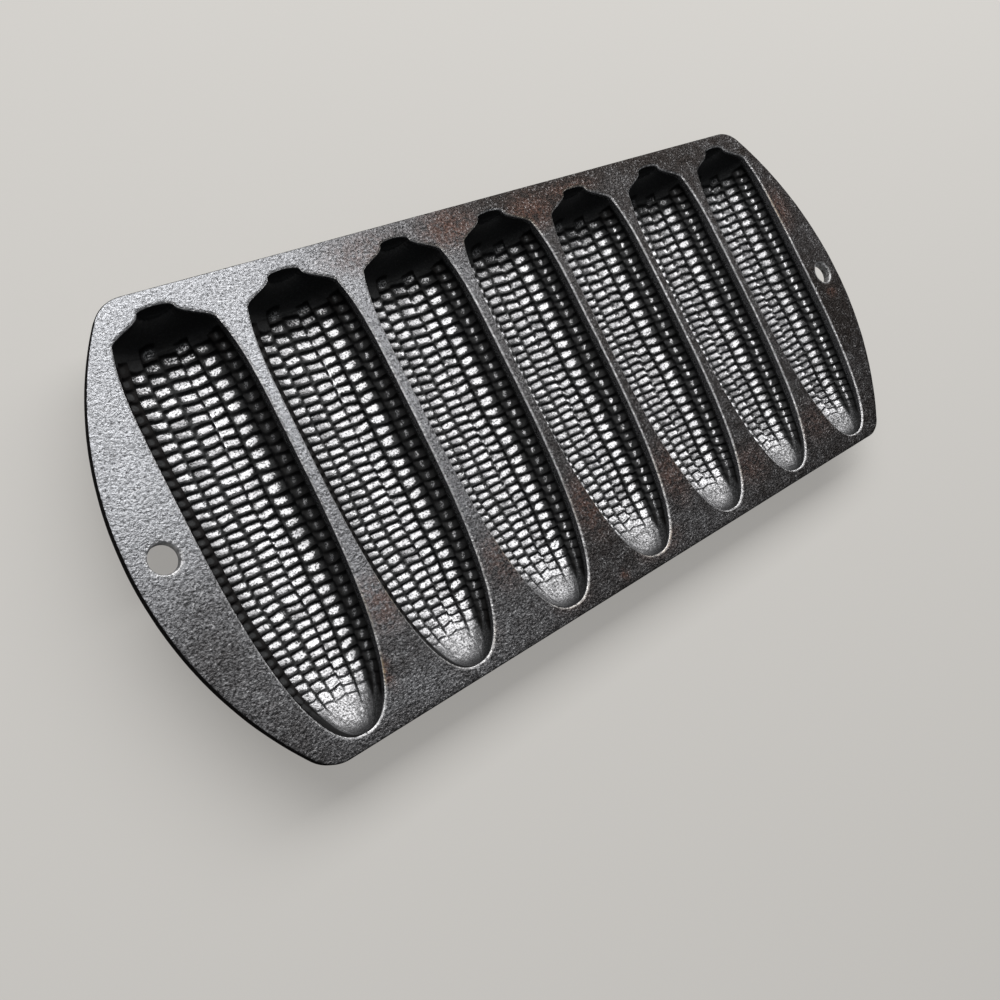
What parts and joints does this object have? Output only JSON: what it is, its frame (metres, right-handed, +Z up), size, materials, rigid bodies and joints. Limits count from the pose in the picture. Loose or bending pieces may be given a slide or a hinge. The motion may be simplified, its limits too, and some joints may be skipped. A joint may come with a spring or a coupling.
{
  "type": "cast iron corn stick pan",
  "caption": "Cast iron corn stick pan: a flat deck with a row of corn ear moulds with kernel dimples, and a hanging hole in each curved end.",
  "frame": {"origin": "on the plane the pan rests on, below the middle of the deck", "axes": "+X along the pan's length, +Y towards the stem ends of the moulds, +Z up out of the moulds' mouths"},
  "size_m": [0.337, 0.147, 0.02],
  "materials": {
    "deck_iron": "seasoned, fine sand-cast grain",
    "mould_iron": "seasoned, semi-gloss"
  },
  "bodies": {
    "root": {"hang_tab_left": "deck_iron", "hang_tab_right": "deck_iron", "stem_rail": "deck_iron", "tip_rail": "deck_iron", "web_1": "deck_iron", "web_2": "deck_iron", "web_3": "deck_iron", "web_4": "deck_iron", "web_5": "deck_iron", "web_6": "deck_iron", "ear_mould_1": "mould_iron", "ear_mould_2": "mould_iron", "ear_mould_3": "mould_iron", "ear_mould_4": "mould_iron", "ear_mould_5": "mould_iron", "ear_mould_6": "mould_iron", "ear_mould_7": "mould_iron"}
  },
  "joints": []
}
